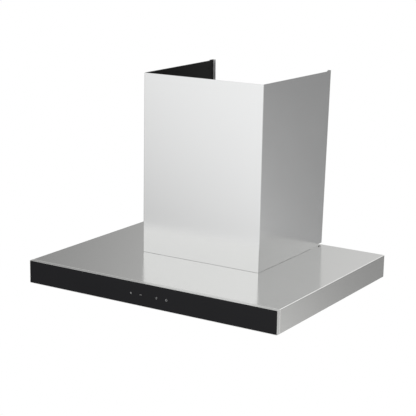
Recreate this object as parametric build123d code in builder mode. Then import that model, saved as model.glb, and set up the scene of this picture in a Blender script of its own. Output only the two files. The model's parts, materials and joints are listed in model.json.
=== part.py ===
"""A 600 mm wall-mounted chimney range hood with a black touch-glass front, as separate pieces.

Millimetres. +X is to the right of a cook facing the hood, +Y points into the wall, +Z is up.
The origin is where the wall plane meets the bottom rim of the canopy, on the hood's centre line.
"""

import math
import os

from build123d import *

os.makedirs("parts", exist_ok=True)

# --- driving dimensions -----------------------------------------------------------------------
canopy_width, canopy_depth, canopy_height = 600.0, 482.0, 49.0
chimney_width, chimney_depth, chimney_height = 290.0, 285.0, 392.0
sheet = 0.8  # stainless sheet of the canopy and the chimney covers
cover_flare = 6.5  # how far each side wall of a cover springs out at its top rear corner
screw_hole_radius = 2.0
screw_radius = 1.75

# fascia: an H-section frame across the front that holds the glass
fascia_depth = 8.5
fascia_lip = 0.7
glass_clearance = 0.15  # between the edge of the glass and the lips
fascia_gap = 0.3  # seam between the fascia frame and the canopy shell
glass_recess, glass_thickness = 0.15, 3.85  # the glass sits just behind the lips
tape_thickness = 1.5
fascia_web = 1.0
touch_x = [-38.0, -14.0, 24.0, 48.0]  # the four touch keys
touch_z = 23.5
board_centre_x = 5.0

# underside
rim_flange_z = 3.0  # underside of the canopy's inward flange
rim_flange_width = 12.0
pocket_centre_x = 147.0
pocket_width, pocket_front, pocket_rear = 266.0, -388.0, -22.0
pocket_ledge_z, pocket_ledge_width = 11.6, 5.0
lamp_x, lamp_y, lamp_radius = 200.0, -430.0, 27.0

# grease filters
filter_width, filter_front, filter_rear = 264.0, -386.2, -24.2
filter_bottom, filter_top = 2.3, 11.2
filter_bar = 12.0
tongue_z, tongue_thickness = 5.3, 1.0
tongue_offset_x = 70.0
bolt_z, bolt_half_width, bolt_half_height = 7.0, 7.0, 1.0
latch_travel = 5.0

# motor box and blower
box_half_width, box_depth, box_top = 123.0, 236.0, 300.0
box_sheet = 1.0
fan_y, fan_z = -124.0, 163.0
impeller_radius, impeller_half_width = 72.0, 60.0
volute_half_width, volute_wall = 64.0, 2.0
inlet_radius = 58.0
shaft_radius = 4.0
motor_radius, motor_left, motor_right = 42.0, -92.0, -10.0

# outlet collar and its non-return flaps
collar_y, collar_radius, collar_wall, collar_top = -89.0, 74.5, 2.0, 355.0
spindle_z, spindle_radius = 318.0, 2.0
flap_radius, flap_thickness = 71.0, 1.5
running_clearance = 0.06

# power box in the gap between the motor box and the chimney front
power_half_width, power_depth, power_bottom, power_top = 70.0, 36.0, 150.0, 270.0
power_wall = 2.0
gland_x, gland_y, gland_bore, gland_length = 42.0, -253.0, 4.0, 16.0
grommet_x, grommet_y = 55.0, -262.0

# --- worked out from the above ----------------------------------------------------------------
shell_front = -canopy_depth + fascia_depth + fascia_gap
shell_inner_front = shell_front + sheet
canopy_inner_x = canopy_width / 2 - sheet
glass_front = -canopy_depth + glass_recess
glass_back = glass_front + glass_thickness
web_front = glass_back + tape_thickness
fascia_back = -canopy_depth + fascia_depth
box_front = -box_depth
power_front = box_front - power_depth
cover_inner_x = chimney_width / 2 - sheet
duct_axis = Plane(origin=(0, collar_y, 0))


# --- helpers ----------------------------------------------------------------------------------
def block(x, y, z, mode=Mode.ADD):
    """Adds or cuts a straight block in the part being built; x, y and z are (low, high) pairs."""
    middle = ((x[0] + x[1]) / 2, (y[0] + y[1]) / 2, (z[0] + z[1]) / 2)
    with Locations(middle):
        Box(x[1] - x[0], y[1] - y[0], z[1] - z[0], mode=mode)


def rod(start, direction, radius, length, mode=Mode.ADD):
    """Adds or cuts a cylinder that starts at a point and runs along a direction."""
    with BuildSketch(Plane(origin=start, z_dir=direction)) as outline:
        Circle(radius)
    extrude(outline.sketch, amount=length, mode=mode)


def rods(starts, direction, radius, length, mode=Mode.ADD):
    """Adds or cuts one cylinder at each start point."""
    for start in starts:
        rod(start, direction, radius, length, mode)


def write(piece, name):
    """Labels a finished sub-part and writes its STEP file."""
    piece.part.label = name
    export_step(piece.part, f"parts/{name}.step")


def pan_screws(heads, direction, length, name, head_radius=3.4, head_height=2.2):
    """Writes a group of pan-head screws: heads start at the given points, shanks run the other way."""
    back = tuple(-value for value in direction)
    with BuildPart() as screws:
        rods(heads, direction, head_radius, head_height)
        fillet(screws.faces().filter_by(GeomType.PLANE).group_by(Axis(heads[0], direction))[-1].edges(), 0.8)
        rods(heads, back, screw_radius, length)
        top = Plane(origin=(0, 0, 0), z_dir=direction)
        for head in heads:  # cross recess
            local = top.to_local_coords(Vector(*head))
            with BuildSketch(top.offset(local.Z + head_height)) as recess:
                with Locations((local.X, local.Y)):
                    Rectangle(3.2, 0.7)
                    Rectangle(0.7, 3.2)
            extrude(recess.sketch, amount=-0.9, mode=Mode.SUBTRACT)
    write(screws, name)


SIDES = (("left", -1), ("right", 1))

# fixing points shared by the sheets and their screws
motor_box_points = [
    (side * (box_half_width + 6.5), y, canopy_height) for _, side in SIDES for y in (-40.0, -118.0, -196.0)
] + [(x, box_front - 6.5, canopy_height) for x in (-85.0, 20.0)]
underside_points = [
    (side * (canopy_inner_x - 9), y, rim_flange_z) for _, side in SIDES for y in (-440.0, -236.0, -30.0)
]
fascia_points = [(x, shell_inner_front, 24.5) for x in (-272.0, -130.0, 130.0, 272.0)]
cover_tab_points = [(side * 140.3, y, canopy_height) for _, side in SIDES for y in (-60.0, -230.0)]
collar_points = [(side * 70.0, collar_y + dy, box_top) for _, side in SIDES for dy in (-52.0, 52.0)]


# --- canopy -----------------------------------------------------------------------------------
def canopy_shell():
    """Folded stainless top, sides, rear and front wall with a hemmed bottom rim and inward flange."""
    depth = -shell_front
    inner_width, inner_depth = canopy_width - 2 * sheet, depth - 2 * sheet
    with BuildPart() as shell:
        with BuildSketch():
            with Locations((0, -depth / 2)):
                Rectangle(canopy_width, depth)
        extrude(amount=canopy_height)
        fillet(shell.edges().filter_by(Axis.Z), 1.4)
        fillet(shell.faces().sort_by(Axis.Z)[-1].edges(), 1.4)
        with BuildSketch():
            with Locations((0, -depth / 2)):
                Rectangle(inner_width, inner_depth)
        extrude(amount=canopy_height - sheet, mode=Mode.SUBTRACT)
        with BuildSketch():  # the hem: the sheet folded back up inside the rim
            with Locations((0, -depth / 2)):
                Rectangle(inner_width, inner_depth)
                Rectangle(inner_width - 2 * sheet, inner_depth - 2 * sheet, mode=Mode.SUBTRACT)
        extrude(amount=rim_flange_z + sheet)
        with BuildSketch(Plane.XY.offset(rim_flange_z)):
            with Locations((0, -depth / 2)):
                Rectangle(inner_width, inner_depth)
                Rectangle(
                    inner_width - 2 * rim_flange_width, inner_depth - 2 * rim_flange_width, mode=Mode.SUBTRACT
                )
        extrude(amount=sheet)
        top = (canopy_height - 2, canopy_height + 1)
        block((-112, 112), (-224, -12), top, Mode.SUBTRACT)  # air opening under the motor box
        rods([(x, y, top[0]) for x, y, _ in motor_box_points], (0, 0, 1), screw_hole_radius, 4, Mode.SUBTRACT)
        rods([(x, y, top[0]) for x, y, _ in cover_tab_points], (0, 0, 1), screw_hole_radius, 4, Mode.SUBTRACT)
        rod((grommet_x, grommet_y, top[0]), (0, 0, 1), 9.0, 4, Mode.SUBTRACT)
        rods([(x, y, 2) for x, y, _ in underside_points], (0, 0, 1), screw_hole_radius, 3, Mode.SUBTRACT)
        front = (shell_front - 1, shell_inner_front + 1)
        block((board_centre_x - 53, board_centre_x + 53), front, (14.5, 32.5), Mode.SUBTRACT)
        rods([(x, front[0], z) for x, _, z in fascia_points], (0, 1, 0), screw_hole_radius, 3, Mode.SUBTRACT)
        rods([(side * 220, -2, 28) for _, side in SIDES], (0, 1, 0), 3.0, 4, Mode.SUBTRACT)
    write(shell, "canopy_shell")


def underside_panel():
    """Recessed bottom sheet with two filter pockets, their ledges and slots, and two lamp holes."""
    half_width = canopy_inner_x - sheet - 0.4
    front, rear = shell_inner_front + sheet + 0.4, -2 * sheet - 0.4
    low, high = rim_flange_z - sheet, rim_flange_z
    wall_top = pocket_ledge_z + sheet
    with BuildPart() as panel:
        block((-half_width, half_width), (front, rear), (low, high))
        for _, side in SIDES:
            x = side * pocket_centre_x
            half = pocket_width / 2
            out = sheet
            block((x - half - out, x + half + out), (pocket_front - out, pocket_rear + out), (low, wall_top))
        for _, side in SIDES:
            x = side * pocket_centre_x
            half, ledge = pocket_width / 2, pocket_ledge_width
            block((x - half, x + half), (pocket_front, pocket_rear), (low, pocket_ledge_z), Mode.SUBTRACT)
            block(
                (x - half + ledge, x + half - ledge),
                (pocket_front + ledge, pocket_rear - ledge),
                (low, wall_top),
                Mode.SUBTRACT,
            )
            for dx in (-tongue_offset_x, tongue_offset_x):
                block(
                    (x + dx - 10, x + dx + 10),
                    (pocket_rear - 1, pocket_rear + sheet + 1),
                    (tongue_z - 2.2, tongue_z + 2.2),
                    Mode.SUBTRACT,
                )
            block(
                (x - bolt_half_width - 1.5, x + bolt_half_width + 1.5),
                (pocket_front - sheet - 1, pocket_front + 1),
                (bolt_z - 2.2, bolt_z + 2.2),
                Mode.SUBTRACT,
            )
            rod((side * lamp_x, lamp_y, low - 1), (0, 0, 1), lamp_radius + 0.4, 3, Mode.SUBTRACT)
        rods([(x, y, low - 1) for x, y, _ in underside_points], (0, 0, 1), screw_hole_radius, 3, Mode.SUBTRACT)
    write(panel, "underside_panel")


def fascia_frame():
    """H-section steel frame: lips round the glass in front, a web behind it, and a skirt to the canopy."""
    half = canopy_width / 2
    with BuildPart() as frame:
        block((-half, half), (-canopy_depth, fascia_back), (0, canopy_height))
        fillet(frame.edges().filter_by(Axis.Y), 0.8)
        inside_x, inside_z = (-half + fascia_lip, half - fascia_lip), (fascia_lip, canopy_height - fascia_lip)
        block(inside_x, (-canopy_depth, web_front), inside_z, Mode.SUBTRACT)
        block(inside_x, (web_front + fascia_web, fascia_back), inside_z, Mode.SUBTRACT)
        web = (web_front - 1, web_front + fascia_web + 1)
        block((board_centre_x - 53, board_centre_x + 53), web, (14.5, 32.5), Mode.SUBTRACT)
        rods([(x, web[0], z) for x, _, z in fascia_points], (0, 1, 0), screw_hole_radius, 4, Mode.SUBTRACT)
    write(frame, "fascia_frame")


def front_glass():
    """Black tempered glass strip with ground edges."""
    clear = fascia_lip + glass_clearance
    half = canopy_width / 2 - clear
    with BuildPart() as glass:
        block((-half, half), (glass_front, glass_back), (clear, canopy_height - clear))
        fillet(glass.edges().filter_by(Axis.Y), 0.6)
        chamfer(glass.faces().sort_by(Axis.Y)[0].edges(), 0.25)
    write(glass, "front_glass")


def glass_tape():
    """Foam tape frame between the glass and the fascia web."""
    half, clear = canopy_width / 2 - fascia_lip - 1, fascia_lip + 1
    with BuildPart() as tape:
        block((-half, half), (glass_back, web_front), (clear, canopy_height - clear))
        block((-half + 12, half - 12), (glass_back, web_front), (clear + 9, canopy_height - clear - 9), Mode.SUBTRACT)
    write(tape, "glass_tape")


def touch_controls():
    """Sensor board behind the glass, its four spring contacts, and the moulded cover round it."""
    board_front, board_back = shell_inner_front + 4, shell_inner_front + 5.6
    with BuildPart() as board:
        block((board_centre_x - 52, board_centre_x + 52), (board_front, board_back), (14, 34))
        for x in touch_x:  # one lamp and one sensor chip behind each key
            block((x - 1.5, x + 1.5), (board_back, board_back + 1), (16, 19))
        block((board_centre_x - 8, board_centre_x + 8), (board_back, board_back + 1.6), (24, 32))
    write(board, "touch_board")

    spring_length, wire, coil_radius, turns = board_front - glass_back, 0.35, 2.6, 5
    with BuildPart() as springs:
        for x in touch_x:
            with BuildLine() as coil:
                rise, start = spring_length - 2 * wire, (x, glass_back + wire, touch_z)
                Helix(rise / turns, rise, coil_radius, center=start, direction=(0, 1, 0))
            with BuildSketch(Plane(origin=coil.line @ 0, z_dir=coil.line % 0)):
                Circle(wire)
            sweep(path=coil.line)
    write(springs, "touch_springs")

    half, low, high, back = 58.0, 9.0, 39.0, board_back + 7
    with BuildPart() as cover:
        block((board_centre_x - half, board_centre_x + half), (shell_inner_front, back), (low, high))
        fillet(cover.edges().filter_by(Axis.Y), 3)
        block(
            (board_centre_x - half + 2, board_centre_x + half - 2),
            (shell_inner_front, back - 2),
            (low + 2, high - 2),
            Mode.SUBTRACT,
        )
        for side in (-1, 1):  # slotted rests that carry the two ends of the board
            x = board_centre_x + side * 54
            block((x - 2.1, x + 2.1), (board_back, back - 1), (low + 1, high - 1))
            block((x - 2.1, x + 2.1), (shell_inner_front + 0.2, board_front), (low + 1, high - 1))
        rod((board_centre_x + 30, back - 3, high - 8), (0, 1, 0), 2.2, 4, Mode.SUBTRACT)
    write(cover, "touch_board_cover")


# --- grease filters, latches ------------------------------------------------------------------
def grease_filter(name, side):
    """Cassette filter: channel frame with rear tongues, expanded faces, inner layers, latch and spring."""
    x = side * pocket_centre_x
    half = filter_width / 2
    middle_y, length = (filter_front + filter_rear) / 2, filter_rear - filter_front
    cup_front, cup_rear, cup_half = filter_front + filter_bar, filter_front + 52.0, 32.0
    bolt = (x - bolt_half_width, x + bolt_half_width)
    bolt_front = pocket_front + 0.4
    bolt_slot = (bolt[0] - 0.3, bolt[1] + 0.3)
    bolt_slot_z = (bolt_z - bolt_half_height - 0.3, bolt_z + bolt_half_height + 0.3)

    with BuildPart() as frame:
        with BuildSketch(Plane.XY.offset(filter_bottom)):
            with Locations((x, middle_y)):
                RectangleRounded(filter_width, length, 4)
        extrude(amount=filter_top - filter_bottom)
        fillet(frame.faces().filter_by(Axis.Z).edges(), 2)
        inner_x = (x - half + filter_bar, x + half - filter_bar)
        inner_y = (filter_front + filter_bar, filter_rear - filter_bar)
        block(inner_x, inner_y, (filter_bottom, filter_top), Mode.SUBTRACT)
        groove = 8.0
        block(
            (inner_x[0] - groove, inner_x[1] + groove),
            (inner_y[0] - groove, inner_y[1] + groove),
            (filter_bottom + 1, filter_top - 1),
            Mode.SUBTRACT,
        )
        for dx in (-tongue_offset_x, tongue_offset_x):
            block(
                (x + dx - 8, x + dx + 8),
                (filter_rear - 1.5, filter_rear + 7.7),
                (tongue_z - tongue_thickness / 2, tongue_z + tongue_thickness / 2),
            )
        block(bolt_slot, (filter_front - 1, filter_front + filter_bar), bolt_slot_z, Mode.SUBTRACT)
    write(frame, f"filter_frame_{name}")

    pad_x = (x - half + 4.3, x + half - 4.3)
    pad_y = (filter_front + 4.3, filter_rear - 4.3)
    cup_gap_x = (x - cup_half - 0.2, x + cup_half + 0.2)
    cup_gap_y = (pad_y[0] - 1, cup_rear + 0.2)
    with BuildPart() as faces:
        for low in (filter_bottom + 1.05, filter_top - 1.45):
            block(pad_x, pad_y, (low, low + 0.4))
        block(cup_gap_x, cup_gap_y, (filter_bottom, filter_top), Mode.SUBTRACT)
    write(faces, f"filter_faces_{name}")

    layer_count, layer_thickness = 4, 0.2
    layer_low, layer_high = filter_bottom + 2.1, filter_top - 2.5
    with BuildPart() as layers:
        for index in range(layer_count):
            low = layer_low + (layer_high - layer_low) * index / (layer_count - 1)
            block(pad_x, pad_y, (low, low + layer_thickness))
        block(cup_gap_x, cup_gap_y, (filter_bottom, filter_top), Mode.SUBTRACT)
    write(layers, f"filter_layers_{name}")

    recess = (cup_front + 8, cup_rear - 4)
    with BuildPart() as cup:
        block((x - cup_half, x + cup_half), (cup_front, cup_rear), (filter_bottom, filter_top))
        fillet(cup.faces().sort_by(Axis.Z)[0].edges(), 0.6)
        with BuildSketch(Plane.XY.offset(filter_bottom - 1)):
            with Locations((x, sum(recess) / 2)):
                RectangleRounded(2 * cup_half - 8, recess[1] - recess[0], 5)
        extrude(amount=filter_top - filter_bottom - 0.6, mode=Mode.SUBTRACT)
        block(bolt_slot, (cup_front, recess[0] + 1), bolt_slot_z, Mode.SUBTRACT)
    write(cup, f"latch_cup_{name}")

    grip_front, grip_rear = recess[0] + 14, recess[0] + 16
    with BuildPart() as latch:
        block(bolt, (bolt_front, grip_rear), (bolt_z - bolt_half_height, bolt_z + bolt_half_height))
        block((x - 20, x + 20), (grip_front, grip_rear), (filter_bottom + 0.9, bolt_z + bolt_half_height))
        grip_corners = latch.edges().filter_by(Axis.Y).group_by(Axis.Z)[0]
        fillet(grip_corners, 1.8)
        nose = latch.edges().filter_by(Axis.X).group_by(Axis.Y)[0].sort_by(Axis.Z)[-1]
        chamfer(nose, 1.2)
    write(latch, f"filter_latch_{name}")

    spring_space, wire, coil_radius, turns = recess[1] - grip_rear, 0.3, 1.8, 6
    with BuildPart() as spring:
        rise, start = spring_space - 2 * wire, (x, grip_rear + wire, bolt_z - 1.2)
        with BuildLine() as coil:
            Helix(rise / turns, rise, coil_radius, center=start, direction=(0, 1, 0))
        with BuildSketch(Plane(origin=coil.line @ 0, z_dir=coil.line % 0)):
            Circle(wire)
        sweep(path=coil.line)
    write(spring, f"latch_spring_{name}")


# --- lamps ------------------------------------------------------------------------------------
def lamp(name, side):
    """Round spot: finned housing with a bezel under the panel, and its frosted lens."""
    at = Plane(origin=(side * lamp_x, lamp_y, 0))
    panel_low = rim_flange_z - sheet
    with BuildPart() as housing:
        with BuildSketch(at.offset(1.0)):
            Circle(lamp_radius + 5)
        extrude(amount=panel_low - 1.0)
        fillet(housing.edges().group_by(Axis.Z)[0], 0.8)
        with BuildSketch(at.offset(panel_low)):
            Circle(lamp_radius)
        extrude(amount=22)
        for index in range(3):  # cooling grooves
            with BuildSketch(at.offset(12 + 4 * index)):
                Circle(lamp_radius + 1)
                Circle(lamp_radius - 5, mode=Mode.SUBTRACT)
            extrude(amount=2, mode=Mode.SUBTRACT)
        with BuildSketch(at):
            Circle(lamp_radius - 2)
        extrude(amount=10, mode=Mode.SUBTRACT)
        with BuildSketch(at.offset(19)):
            Circle(2.6)
        extrude(amount=10, mode=Mode.SUBTRACT)
    write(housing, f"lamp_housing_{name}")

    with BuildPart() as lens:
        with BuildSketch(at.offset(1.3)):
            Circle(lamp_radius - 2.1)
        extrude(amount=2)
        fillet(lens.edges().group_by(Axis.Z)[0], 0.8)
    write(lens, f"lamp_lens_{name}")


def lamp_boards():
    """The two round boards with their rings of chips, inside the lamp housings."""
    with BuildPart() as boards:
        for _, side in SIDES:
            at = Plane(origin=(side * lamp_x, lamp_y, 0))
            with BuildSketch(at.offset(8.4)):
                Circle(lamp_radius - 2.4)
            extrude(amount=1.6)
            with BuildSketch(at.offset(7.6)):
                with PolarLocations(14, 9):
                    Rectangle(3, 3)
            extrude(amount=0.8)
    write(boards, "lamp_boards")


# --- motor box --------------------------------------------------------------------------------
def motor_box():
    """Folded sheet box over the air opening; its rear wall carries the hood on the wall."""
    x, y = (-box_half_width, box_half_width), (box_front, 0)
    with BuildPart() as box:
        block(x, y, (canopy_height, box_top))
        block(
            (x[0] + box_sheet, x[1] - box_sheet),
            (y[0] + box_sheet, y[1] - box_sheet),
            (canopy_height, box_top - box_sheet),
            Mode.SUBTRACT,
        )
        flange = 12.0
        for _, side in SIDES:
            edge = sorted((side * box_half_width, side * (box_half_width + flange)))
            block(edge, (box_front, -6), (canopy_height, canopy_height + box_sheet))
        block((-90, 34), (box_front - flange, box_front), (canopy_height, canopy_height + box_sheet))
        up = canopy_height - 1
        rods([(px, py, up) for px, py, _ in motor_box_points], (0, 0, 1), screw_hole_radius, 4, Mode.SUBTRACT)
        rod((0, collar_y, box_top - 3), (0, 0, 1), 65.0, 5, Mode.SUBTRACT)
        rods([(px, py, box_top - 3) for px, py, _ in collar_points], (0, 0, 1), screw_hole_radius, 5, Mode.SUBTRACT)
        with BuildSketch(Plane(origin=(0, -2, 270), x_dir=(1, 0, 0), z_dir=(0, -1, 0))):
            with Locations((-90, 0), (90, 0)):
                SlotOverall(16, 8)
        extrude(amount=4, both=True, mode=Mode.SUBTRACT)
        rods([(px, -2, 75) for px in (-90, 90)], (0, 1, 0), 3.0, 4, Mode.SUBTRACT)
        rod((-30, box_front - 1, 205), (0, 1, 0), 5.0, 3, Mode.SUBTRACT)
    write(box, "motor_box")


def scroll_face(grow=0.0, open_top=0.0):
    """Scroll outline in the fan plane: two quarter arcs, a straight rear wall and the cut-off tongue."""
    first, second = 86.0, 96.0
    low_centre, high_centre = (fan_y + 4, fan_z + 4), (fan_y + 4, fan_z + 4 + second - first)
    tongue_angle = 125.0
    tongue = (
        low_centre[0] + (first + grow) * math.cos(math.radians(tongue_angle)),
        low_centre[1] + (first + grow) * math.sin(math.radians(tongue_angle)),
    )
    top = box_top - box_sheet + open_top
    rear = high_centre[0] + second + grow
    throat = fan_y - 30 - grow
    with BuildLine() as outline:
        CenterArc(low_centre, first + grow, tongue_angle, 270 - tongue_angle)
        CenterArc(high_centre, second + grow, 270, 90)
        Line((rear, high_centre[1]), (rear, top))
        Line((rear, top), (throat, top))
        Line((throat, top), tongue)
    make_face(outline.line.edges())


def volute_half(name, side):
    """One half of the plastic scroll housing, with its inlet hole and the flange under the box top."""
    with BuildPart() as half:
        with BuildSketch(Plane.YZ):
            scroll_face()
        extrude(amount=side * volute_half_width)
        with BuildSketch(Plane.YZ):
            scroll_face(grow=-volute_wall, open_top=1.0)
        extrude(amount=side * (volute_half_width - volute_wall), mode=Mode.SUBTRACT)
        rod((side * (volute_half_width - 4), fan_y, fan_z), (side, 0, 0), inlet_radius, 6, Mode.SUBTRACT)
        edge = sorted((side * volute_half_width, side * (volute_half_width + 12)))
        block(edge, (fan_y - 30, fan_y + 98), (box_top - box_sheet - 3, box_top - box_sheet))
        holes = [(px, py, box_top - 6) for px, py, _ in collar_points if px * side > 0]
        rods(holes, (0, 0, 1), screw_hole_radius, 8, Mode.SUBTRACT)
    write(half, f"volute_{name}")


def inlet_ring(name, side):
    """Bell-mouth ring on the side of the scroll; the right one also carries a finger guard."""
    throat, outer, lip = inlet_radius - 3.0, inlet_radius + 9.0, 6.0
    with BuildPart() as ring:
        face = side * volute_half_width
        rod((face, fan_y, fan_z), (side, 0, 0), outer, 2.0)
        rod((face - side * 2.0, fan_y, fan_z), (side, 0, 0), inlet_radius - 0.2, 2.0)
        rod((face - side * 2.0, fan_y, fan_z), (side, 0, 0), throat, lip, Mode.SUBTRACT)
        mouth = ring.edges().filter_by(GeomType.CIRCLE).group_by(Axis.X)[-1 if side > 0 else 0]
        fillet(mouth.sort_by(SortBy.RADIUS)[0], 1.8)
        if side > 0:
            for radius in (16.0, 36.0):
                with BuildSketch(Plane(origin=(face, fan_y, fan_z), z_dir=(1, 0, 0))):
                    Circle(radius + 1.25)
                    Circle(radius - 1.25, mode=Mode.SUBTRACT)
                extrude(amount=2.0)
            with BuildSketch(Plane(origin=(face, fan_y, fan_z), z_dir=(1, 0, 0))):
                with PolarLocations(36.5, 8):
                    Rectangle(41.0, 2.5)
            extrude(amount=2.0)
    write(ring, f"inlet_ring_{name}")


# --- fan and motor ----------------------------------------------------------------------------
def impeller():
    """Double-inlet drum: forward-curved blades through a centre disc, held by two end rings."""
    blade_count, blade_inner, blade_thickness = 36, 61.0, 0.9
    left = Plane(origin=(-impeller_half_width, fan_y, fan_z), x_dir=(0, 1, 0), z_dir=(1, 0, 0))
    root = blade_inner
    tip = impeller_radius - 0.3
    with BuildPart() as drum:
        with BuildSketch(left):
            with PolarLocations(0, blade_count):
                with BuildLine():
                    outer = ThreePointArc((root, 0), ((root + tip) / 2, 2.2), (tip, 6.5))
                    inner = ThreePointArc(
                        (root, -blade_thickness), ((root + tip) / 2, 2.2 - blade_thickness), (tip, 6.5 - blade_thickness)
                    )
                    Line(outer @ 1, inner @ 1)
                    Line(outer @ 0, inner @ 0)
                make_face()
        extrude(amount=2 * impeller_half_width)
        with BuildSketch(left.offset(impeller_half_width - 1)):
            Circle(impeller_radius)
            Circle(11.0, mode=Mode.SUBTRACT)
            with PolarLocations(34, 6):  # lightening holes
                Circle(9, mode=Mode.SUBTRACT)
        extrude(amount=2)
        for start in (0, 2 * impeller_half_width - 2.5):
            with BuildSketch(left.offset(start)):
                Circle(impeller_radius + 1)
                Circle(blade_inner + 3.5, mode=Mode.SUBTRACT)
            extrude(amount=2.5)
    write(drum, "impeller")


def rotating_core():
    """Shaft, hub and rotor core, which turn with the impeller."""
    with BuildPart() as hub:
        rod((-5, fan_y, fan_z), (1, 0, 0), 11.0, 14)
        rod((-5, fan_y, fan_z), (1, 0, 0), 16.0, 4)
        rod((-6, fan_y, fan_z), (1, 0, 0), shaft_radius, 16, Mode.SUBTRACT)
    write(hub, "impeller_hub")

    with BuildPart() as shaft:
        rod((motor_left - 4, fan_y, fan_z), (1, 0, 0), shaft_radius, -motor_left + 16)
        chamfer(shaft.edges().filter_by(GeomType.CIRCLE), 0.6)
    write(shaft, "motor_shaft")

    with BuildPart() as core:
        rod((-70, fan_y, fan_z), (1, 0, 0), 24.0, 40)
        rod((-71, fan_y, fan_z), (1, 0, 0), shaft_radius, 42, Mode.SUBTRACT)
    write(core, "motor_rotor_core")


def motor():
    """Closed motor inside the left half of the impeller, hung on a three-arm bracket."""
    bearing_radius, bearing_width = 11.0, 7.0
    with BuildPart() as case:
        rod((motor_left, fan_y, fan_z), (1, 0, 0), motor_radius, motor_right - motor_left)
        fillet(case.edges().filter_by(GeomType.CIRCLE), 3)
        rod((motor_left + 2, fan_y, fan_z), (1, 0, 0), motor_radius - 2, motor_right - motor_left - 4, Mode.SUBTRACT)
        for start in (motor_left + 2, motor_right - 2 - bearing_width):
            with BuildSketch(Plane(origin=(start, fan_y, fan_z), z_dir=(1, 0, 0))):
                Circle(bearing_radius + 2)
            extrude(amount=bearing_width)
            rod((start, fan_y, fan_z), (1, 0, 0), bearing_radius, bearing_width, Mode.SUBTRACT)
        rod((motor_left - 1, fan_y, fan_z), (1, 0, 0), shaft_radius + 1.5, motor_right - motor_left + 2, Mode.SUBTRACT)
        vents = Plane(origin=(motor_left - 1, fan_y, fan_z), x_dir=(0, 1, 0), z_dir=(1, 0, 0))
        with BuildSketch(vents):
            with PolarLocations(27, 8):
                SlotOverall(14, 4, rotation=90)
        extrude(amount=5, mode=Mode.SUBTRACT)
    write(case, "motor_case")

    with BuildPart() as stator:
        rod((-70, fan_y, fan_z), (1, 0, 0), motor_radius - 2, 40)
        rod((-71, fan_y, fan_z), (1, 0, 0), 24.6, 42, Mode.SUBTRACT)
    write(stator, "motor_stator")

    with BuildPart() as bearings:
        for start in (motor_left + 2, motor_right - 2 - bearing_width):
            rod((start, fan_y, fan_z), (1, 0, 0), bearing_radius, bearing_width)
            rod((start, fan_y, fan_z), (1, 0, 0), shaft_radius + running_clearance, bearing_width, Mode.SUBTRACT)
    write(bearings, "motor_bearings")

    bracket_x, bracket_thickness, arm_reach = motor_left - 2.5, 2.5, 74.0
    outside = Plane(origin=(bracket_x, fan_y, fan_z), x_dir=(0, 1, 0), z_dir=(1, 0, 0))
    arm_angles = (90, 210, 330)
    foot_points = [
        (
            -volute_half_width,
            fan_y + arm_reach * math.cos(math.radians(angle)),
            fan_z + arm_reach * math.sin(math.radians(angle)),
        )
        for angle in arm_angles
    ]
    with BuildPart() as bracket:
        with BuildSketch(outside):
            Circle(20)
            for angle in arm_angles:
                with Locations(Rotation(0, 0, angle)):
                    with Locations((arm_reach / 2, 0)):
                        SlotOverall(arm_reach + 18, 16)
            Circle(shaft_radius + 3, mode=Mode.SUBTRACT)
        extrude(amount=bracket_thickness)
        rods([(bracket_x - 1, y, z) for _, y, z in foot_points], (1, 0, 0), 2.2, 5, Mode.SUBTRACT)
    write(bracket, "motor_bracket")

    with BuildPart() as bushes:
        length = -volute_half_width - (bracket_x + bracket_thickness)
        rods([(x, y, z) for x, y, z in foot_points], (-1, 0, 0), 6.0, length)
        rods([(x + 1, y, z) for x, y, z in foot_points], (-1, 0, 0), 2.2, length + 2, Mode.SUBTRACT)
    write(bushes, "motor_bushes")


def run_capacitor():
    """Motor run capacitor standing in a corner of the motor box."""
    at = Plane(origin=(98, box_front + 22, canopy_height + 20))
    with BuildPart() as capacitor:
        with BuildSketch(at):
            Circle(15)
        extrude(amount=62)
        fillet(capacitor.edges().group_by(Axis.Z)[-1], 2)
        with BuildSketch(at.offset(62)):
            with Locations((-5, 0), (5, 0)):
                Rectangle(0.8, 6.3)
        extrude(amount=9)
        clip = (box_front + box_sheet, box_front + 8)
        block((90, 106), clip, (at.origin.Z + 20, at.origin.Z + 32))
    write(capacitor, "run_capacitor")


# --- outlet collar and flaps ------------------------------------------------------------------
def outlet_collar():
    """Duct spigot on the motor box, with a ledge that the two flaps rest on."""
    bore = collar_radius - collar_wall
    with BuildPart() as plate:
        with BuildSketch(duct_axis.offset(box_top)):
            RectangleRounded(166, 166, 10)
            Circle(collar_radius - 0.8, mode=Mode.SUBTRACT)
        extrude(amount=3)
        holes = [(x, y, box_top - 1) for x, y, _ in collar_points]
        rods(holes, (0, 0, 1), screw_hole_radius, 6, Mode.SUBTRACT)
    write(plate, "collar_plate")

    with BuildPart() as collar:
        with BuildSketch(duct_axis.offset(box_top)):
            Circle(collar_radius - 0.8)
        extrude(amount=3)
        with BuildSketch(duct_axis.offset(box_top + 3)):
            Circle(collar_radius)
        extrude(amount=collar_top - box_top - 3)
        with BuildSketch(duct_axis.offset(box_top)):
            Circle(bore)
        extrude(amount=collar_top - box_top, mode=Mode.SUBTRACT)
        ledge_top = spindle_z - flap_thickness / 2 - 0.3
        with BuildSketch(duct_axis.offset(ledge_top - 1.5)):
            Circle(bore)
            Circle(flap_radius - 2, mode=Mode.SUBTRACT)
            Rectangle(2 * collar_radius, 10, mode=Mode.SUBTRACT)
        extrude(amount=1.5)
        rod((-collar_radius - 1, collar_y, spindle_z), (1, 0, 0), spindle_radius, 2 * collar_radius + 2, Mode.SUBTRACT)
    write(collar, "outlet_collar")

    with BuildPart() as spindle:
        rod((-collar_radius + 0.3, collar_y, spindle_z), (1, 0, 0), spindle_radius, 2 * collar_radius - 0.6)
    write(spindle, "damper_spindle")


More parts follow.
